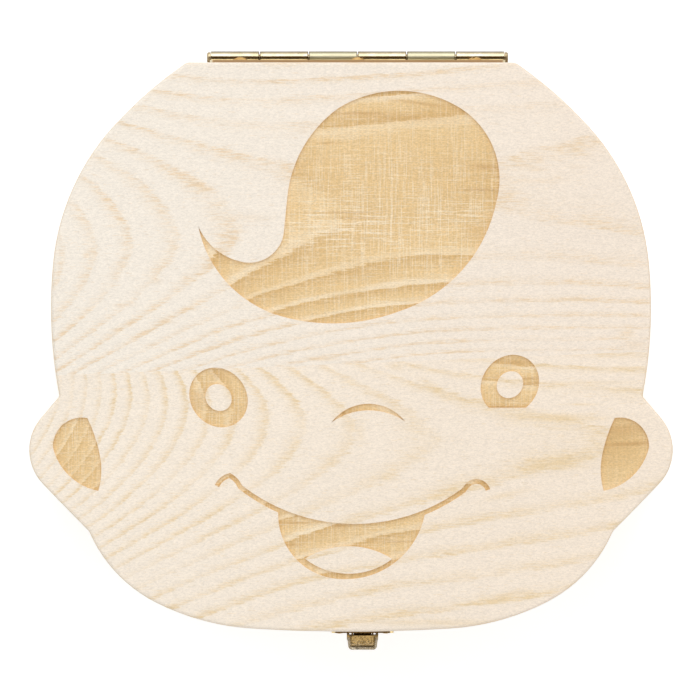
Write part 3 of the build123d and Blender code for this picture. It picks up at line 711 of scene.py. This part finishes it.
metals = {
    "hingeBrass": {
        "bright": colour(227, 214, 186), "dull": colour(210, 194, 160), "rough": 0.09, "swing": 0.06,
        "grainHeight": 0.008, "mottle": 0.0, "metal": 1.0, "rim": (0.12, 0.10, 0.07, 1), "seed": 3.0,
    },
    "plateBrass": {
        "bright": colour(226, 202, 152), "dull": colour(212, 184, 130), "rough": 0.13, "swing": 0.07,
        "grainHeight": 0.010, "mottle": 0.0, "metal": 1.0, "rim": (0.5, 0.4, 0.3, 1), "seed": 17.0,
    },
    "leverBrass": {
        "bright": colour(240, 228, 204), "dull": colour(204, 190, 162), "rough": 0.17, "swing": 0.07,
        "grainHeight": 0.08, "mottle": 0.55, "metal": 1.0, "rim": (0.3, 0.26, 0.22, 1), "seed": 61.0,
    },
    "screwBrass": {
        "bright": colour(214, 180, 122), "dull": colour(192, 152, 96), "rough": 0.14, "swing": 0.08,
        "grainHeight": 0.012, "mottle": 0.0, "metal": 0.85, "rim": (0.5, 0.4, 0.3, 1), "seed": 29.0,
    },
    "nailBrass": {
        "bright": colour(224, 200, 150), "dull": colour(204, 176, 122), "rough": 0.18, "swing": 0.08,
        "grainHeight": 0.012, "mottle": 0.0, "metal": 0.85, "rim": (0.5, 0.4, 0.3, 1), "seed": 41.0,
    },
    "pinWire": {
        "bright": colour(196, 180, 148), "dull": colour(140, 122, 92), "rough": 0.26, "swing": 0.10,
        "grainHeight": 0.010, "mottle": 0.0, "metal": 1.0, "rim": (0.4, 0.35, 0.3, 1), "seed": 53.0,
    },
}


def plateStart(name, v):
    # Bright plating with duller blotches, fine scratches along the sheet and a soft grain
    material, tree, shader = newMaterial(name)
    point, normal = millimetres(tree)
    wear = place(tree, groups["metalWear"], {"Point": point, "Seed": v["seed"]})
    share = between(tree, wear["Tarnish"], plating["tarnishFrom"], plating["tarnishTo"])
    plate = blendColour(tree, share, v["bright"], v["dull"])
    rough = calc(tree, "MULTIPLY_ADD", share, v["swing"], v["rough"])
    rough = calc(tree, "MULTIPLY_ADD", wear["Scratches"], plating["scratchRough"], rough)
    height = calc(tree, "MULTIPLY_ADD", wear["Scratches"], plating["scratchHeight"], wear["Grain"])
    bump = put(tree, "ShaderNodeBump", {"Strength": 1.0, "Distance": v["grainHeight"] * mm, "Height": height})
    feed(tree, shader.inputs["Base Color"], plate)
    feed(tree, shader.inputs["Roughness"], rough)
    feed(tree, shader.inputs["Metallic"], v["metal"])
    feed(tree, shader.inputs["Specular Tint"], v["rim"])
    feed(tree, shader.inputs["Normal"], bump.outputs[0])
    return {"material": material, "tree": tree, "shader": shader, "point": point, "normal": normal,
            "grain": wear["Grain"], "plate": plate, "rough": rough}


def platedMetal(name, v):
    return plateStart(name, v)["material"]


latchCreases = {
    # painted shade for the latch's creases and the slot beside the tongue; the lever's mottle takes this
    # colour too
    "paintedShade": colour(52, 38, 20),
    # ranges in millimetres: across from the lever's middle, from its front towards the wood and down from
    # its top, and then the share of painted shade
    "leverFront": ((-2.1, 2.1), (0.42, 0.80), (0.4, 1.4), 0.75),
    "leverLeft": ((-2.35, -2.05), (0.5, 2.5), (0.4, 2.2), 0.55),
    "leverRight": ((2.05, 2.35), (0.5, 2.5), (0.4, 2.2), 0.55),
    "tongue": ((-2.3, 2.3), (2.3, 3.55), (2.5, 6.0), 0.95),
    "softInside": 0.08,
    "softOutside": 0.05,
}


def creaseShade(tree, point, v, *names):
    # Painted shade in the named ranges, soft by a tenth of a millimetre at their borders.
    low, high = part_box("latch_lever")
    parts = put(tree, "ShaderNodeSeparateXYZ", {"Vector": point}).outputs
    across = calc(tree, "SUBTRACT", parts["X"], (low.x + high.x) / 2 / mm)
    inward = calc(tree, "SUBTRACT", parts["Y"], low.y / mm)
    down = calc(tree, "SUBTRACT", high.z / mm, parts["Z"])
    total = 0.0
    for name in names:
        mask = v[name][3]
        for value, (start, end) in zip((across, inward, down), v[name][:3]):
            away = calc(tree, "ABSOLUTE", calc(tree, "SUBTRACT", value, (start + end) / 2))
            half = (end - start) / 2
            soft = between(tree, away, half - v["softInside"], half + v["softOutside"], 1.0, 0.0)
            mask = calc(tree, "MULTIPLY", mask, soft)
        total = calc(tree, "MAXIMUM", total, mask)
    return total


hingeWearAndShade = {
    "count": 6,  # knuckles along the barrel
    "barrelRadius": 1.2,
    "barrelMargin": 0.05,
    "barrelTint": (0.75, 0.75, 0.75, 1),  # brings the barrel near its tone in the photograph
    "paintedShade": colour(74, 58, 36),  # painted shade beside each gap of the barrel and along its back
    "gapShadeFrom": 0.12,  # full up to here from a gap, and gone from there on
    "gapShadeTo": 0.3,
    "gapShadeEnds": 1.0,  # the barrel's two ends get no painted shade over this length
    "rearLine": 0.22,  # painted dark reflection along the barrel's back, by how far it reaches in, how low, and its share
    "rearFrom": -0.25,
    "rearShare": 0.9,
    "cutEdge": colour(186, 154, 116),  # the sheet's cut edges are rougher than its faces
    "cutRough": 0.42,
    "cutBefore": 0.78,  # these edges lie at least this far before the pin's axis and face upwards
    "cutUpFrom": 0.85,
    "cutUpTo": 0.97,
    "dullOnes": (2, 4),  # the knuckles whose plating looks duller, counted from 0 at the left
    "dullColour": colour(187, 181, 154),
    "dullRough": 0.24,
}


def barrelMasks(tree, point, normal, v):
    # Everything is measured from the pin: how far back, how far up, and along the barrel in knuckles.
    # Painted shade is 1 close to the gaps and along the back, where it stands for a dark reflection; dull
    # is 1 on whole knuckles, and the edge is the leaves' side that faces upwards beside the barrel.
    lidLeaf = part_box("hinge_lid_leaf")
    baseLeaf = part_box("hinge_base_leaf")
    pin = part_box("hinge_pin")
    start = min(lidLeaf[0].x, baseLeaf[0].x) / mm
    end = max(lidLeaf[1].x, baseLeaf[1].x) / mm
    middle = (start + end) / 2
    pitch = (end - start) / v["count"]
    parts = put(tree, "ShaderNodeSeparateXYZ", {"Vector": point}).outputs
    along = calc(tree, "SUBTRACT", parts["X"], start)
    back = calc(tree, "SUBTRACT", parts["Y"], (pin[0].y + pin[1].y) / 2 / mm)
    up = calc(tree, "SUBTRACT", parts["Z"], (pin[0].z + pin[1].z) / 2 / mm)
    squares = calc(tree, "ADD", calc(tree, "MULTIPLY", back, back), calc(tree, "MULTIPLY", up, up))
    onBarrel = calc(tree, "LESS_THAN", calc(tree, "SQRT", squares), v["barrelRadius"] + v["barrelMargin"])
    gaps = between(tree, calc(tree, "PINGPONG", along, pitch / 2), v["gapShadeFrom"], v["gapShadeTo"], 1.0, 0.0)
    inside = calc(tree, "COMPARE", parts["X"], middle, middle - start - v["gapShadeEnds"])
    inner = v["barrelRadius"] - v["rearLine"]
    paintedRearReflection = between(tree, back, inner, inner + v["rearLine"] / 2, 0.0, v["rearShare"])
    paintedRearReflection = calc(tree, "MULTIPLY", paintedRearReflection, between(tree, up, v["rearFrom"], 0.0))
    paintedShade = calc(tree, "MAXIMUM", calc(tree, "MULTIPLY", gaps, inside), paintedRearReflection)
    number = calc(tree, "FLOOR", calc(tree, "DIVIDE", along, pitch))
    dull = 0.0
    for one in v["dullOnes"]:
        dull = calc(tree, "ADD", dull, calc(tree, "COMPARE", number, float(one), 0.1))
    upward = put(tree, "ShaderNodeSeparateXYZ", {"Vector": normal}).outputs["Z"]
    facingUp = between(tree, upward, v["cutUpFrom"], v["cutUpTo"])
    return {"paintedShade": calc(tree, "MULTIPLY", paintedShade, onBarrel),
            "barrel": onBarrel,
            "dull": calc(tree, "MULTIPLY", dull, onBarrel),
            "edge": calc(tree, "MULTIPLY", facingUp, calc(tree, "LESS_THAN", back, -v["cutBefore"]))}


def hingeMetal(name, v, wearAndShade):
    # The hinge is plated as the rest is, with worn knuckles, painted shade beside the gaps, a painted dark
    # reflection along the barrel's back and rougher cut edges
    part = plateStart(name, v)
    tree = part["tree"]
    masks = barrelMasks(tree, part["point"], part["normal"], wearAndShade)
    plate = blendColour(tree, masks["barrel"], part["plate"], wearAndShade["barrelTint"], "MULTIPLY")
    plate = blendColour(tree, masks["dull"], plate, wearAndShade["dullColour"])
    # painted shade beside the gaps and painted dark reflection along the barrel's back
    plate = blendColour(tree, masks["paintedShade"], plate, wearAndShade["paintedShade"])
    plate = blendColour(tree, masks["edge"], plate, wearAndShade["cutEdge"])
    rough = calc(tree, "MULTIPLY_ADD", masks["edge"], wearAndShade["cutRough"], part["rough"])
    rough = calc(tree, "MULTIPLY_ADD", masks["dull"], wearAndShade["dullRough"], rough)
    feed(tree, part["shader"].inputs["Base Color"], plate)
    feed(tree, part["shader"].inputs["Roughness"], rough)
    return part["material"]


def latchMetal(name, v, creases, *names):
    # Plated metal with painted shade in the named creases, and mottled where its own value says so
    part = plateStart(name, v)
    tree = part["tree"]
    plate = part["plate"]
    if v["mottle"]:
        mottle = between(tree, part["grain"], plating["mottleFrom"], plating["mottleTo"])
        plate = blendColour(tree, calc(tree, "MULTIPLY", mottle, v["mottle"]), plate, creases["paintedShade"])
    # painted shade in the creases and in the slot beside the tongue
    shadeInCreases = creaseShade(tree, part["point"], creases, *names)
    plate = blendColour(tree, shadeInCreases, plate, creases["paintedShade"])
    feed(tree, part["shader"].inputs["Base Color"], plate)
    return part["material"]


def dress(material, *names):
    # Gives CAD nodes their finish in their own material slots.
    for name in names:
        slots = nodes[name].material_slots
        if len(slots) == 0:
            nodes[name].data.materials.append(material)
        for slot in slots:
            slot.material = material


# Burnt marks inside the box: plain numbers beside the wells, and ruled lines under the lid

wellMarks = {
    "perArch": 10,
    "sideAngle": 14.0,
    "halfWidth": 32.3,  # the ring of numbers runs inside the ring of wells
    "halfDepth": 29.2,
    "height": 2.7,
    "textSize": 1.35,  # size of the letters for digits of height 1
    "relief": 0.03,
}
ruledLines = {
    "rows": 6,
    "pitch": 10.5,
    "length": 66.0,
    "width": 0.45,
    "relief": 0.03,
    "middleY": 1.0,
    "lidHollow": 4.5,  # how far the lid's ceiling is above its rim
}
inkValues = {
    "dark": colour(118, 78, 44),
    "pale": colour(164, 116, 68),
    "blotches": (2.2, 2.2, 1.0),
    "rough": 0.65,
    "roughSwing": 0.2,
    "shine": 0.2,
}


def burntInk(v):
    material, tree, shader = newMaterial("burntInk")
    point = millimetres(tree)[0]
    blotches = noise(tree, stretched(tree, point, v["blotches"]), 3.0)
    feed(tree, shader.inputs["Base Color"], blendColour(tree, blotches, v["dark"], v["pale"]))
    feed(tree, shader.inputs["Roughness"], calc(tree, "MULTIPLY_ADD", blotches, v["roughSwing"], v["rough"]))
    feed(tree, shader.inputs["Specular IOR Level"], v["shine"])
    return material


def numberShape(text, v):
    # The corners and triangles of a number as a thin plate, its middle at the origin, from a text curve.
    letters = bpy.data.curves.new("number", "FONT")
    letters.body = text
    letters.align_x = "CENTER"
    letters.align_y = "CENTER"
    letters.size = v["height"] * v["textSize"] * mm
    letters.extrude = v["relief"] * mm
    letters.resolution_u = 3
    holder = bpy.data.objects.new("number", letters)
    scene.collection.objects.link(holder)
    bpy.context.view_layer.update()
    mesh = bpy.data.meshes.new_from_object(holder)
    bpy.data.objects.remove(holder)
    mesh.calc_loop_triangles()
    corners = np.empty(len(mesh.vertices) * 3)
    triangles = np.empty(len(mesh.loop_triangles) * 3, dtype=np.int32)
    mesh.vertices.foreach_get("co", corners)
    mesh.loop_triangles.foreach_get("vertices", triangles)
    bpy.data.meshes.remove(mesh)
    return corners.reshape(-1, 3), triangles.reshape(-1, 3)


def wellNumbers(v, ink):
    # One piece with the numbers of both arches, each read from the front of the box.
    step = (180 - 2 * v["sideAngle"]) / (v["perArch"] - 1)
    corners = []
    triangles = []
    count = 0
    for index in range(v["perArch"]):
        angle = math.radians(180 - v["sideAngle"] - index * step)
        shape, faces = numberShape(str(index + 1), v)
        for side in (1, -1):
            across = v["halfWidth"] * math.cos(angle) * mm
            along = caseMiddleY + side * v["halfDepth"] * math.sin(angle) * mm
            corners.append(shape + (across, along, deckTop * mm))
            triangles.append(faces + count)
            count += len(shape)
    corners = np.concatenate(corners)
    triangles = np.concatenate(triangles)
    return finishedPiece("wellNumbers", corners, triangles, ink, "base")


def writingLines(v, ink):
    # Ruled lines burnt into the ceiling of the lid: the same flat bar for each row, moved by the pitch.
    ceiling = lidLow.z + v["lidHollow"] * mm
    half = np.array((v["length"] / 2, v["width"] / 2, v["relief"])) * mm
    bar = np.stack(np.meshgrid((-1, 1), (-1, 1), (-1, 1), indexing="ij"), axis=-1).reshape(-1, 3) * half
    sides = np.array([(0, 1, 3, 2), (4, 6, 7, 5), (0, 4, 5, 1), (2, 3, 7, 6), (0, 2, 6, 4), (1, 5, 7, 3)])
    rows = np.arange(v["rows"]) - (v["rows"] - 1) / 2
    places = np.zeros((v["rows"], 1, 3))
    places[:, 0, 1] = caseMiddleY + (v["middleY"] + rows * v["pitch"]) * mm
    places[:, 0, 2] = ceiling
    corners = (places + bar).reshape(-1, 3)
    faces = (np.arange(v["rows"])[:, None, None] * len(bar) + sides).reshape(-1, 4)
    return finishedPiece("writingLines", corners, faces, ink, "lid")


def finishedPiece(name, corners, faces, material, body):
    mesh = bpy.data.meshes.new(name)
    mesh.from_pydata(corners.tolist(), [], faces.tolist())
    mesh.materials.append(material)
    mesh.validate()
    piece = bpy.data.objects.new(name, mesh)
    scene.collection.objects.link(piece)
    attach(piece, body)
    return piece


# Everything together

scene.view_settings.view_transform = "Standard"
makeCamera(cameraValues)
makeLight(lightValues, floorValues)
print("box: camera, floor and lights are up")

groups = {
    "growthRings": growthRings(ringGrain),
    "woodFibres": woodFibres(fibreGrain),
    "softSpot": softSpot(),
    "burntPicture": burntPicture(laserMarks),
    "metalWear": metalWear(plating),
}
dress(boardWood("lidRearWood", rearBoard, woodFinish, True), "lid_rear_board")
dress(boardWood("lidFrontWood", frontBoard, woodFinish, True), "lid_front_board")
dress(boardWood("baseWood", baseBoard, woodFinish, False), "base_block")
dress(boardWood("coverWood", coverBoard, woodFinish, False),
      "upper_compartment_cover", "lower_compartment_cover")
print("box: wood is on")

dress(hingeMetal("hingeBrass", metals["hingeBrass"], hingeWearAndShade), "hinge_lid_leaf", "hinge_base_leaf")
dress(latchMetal("plateBrass", metals["plateBrass"], latchCreases, "tongue"),
      "latch_base_plate", "catch_plate")
dress(latchMetal("leverBrass", metals["leverBrass"], latchCreases, "leverFront", "leverLeft", "leverRight"),
      "latch_lever")
dress(platedMetal("screwBrass", metals["screwBrass"]), "hinge_lid_screws", "hinge_base_screws")
dress(platedMetal("nailBrass", metals["nailBrass"]), "latch_base_nails", "catch_nails")
dress(platedMetal("pinWire", metals["pinWire"]), "hinge_pin", "latch_pin")
print("box: brass and wire are on")

ink = burntInk(inkValues)
wellNumbers(wellMarks, ink)
writingLines(ruledLines, ink)
print("box: marks are burnt in")
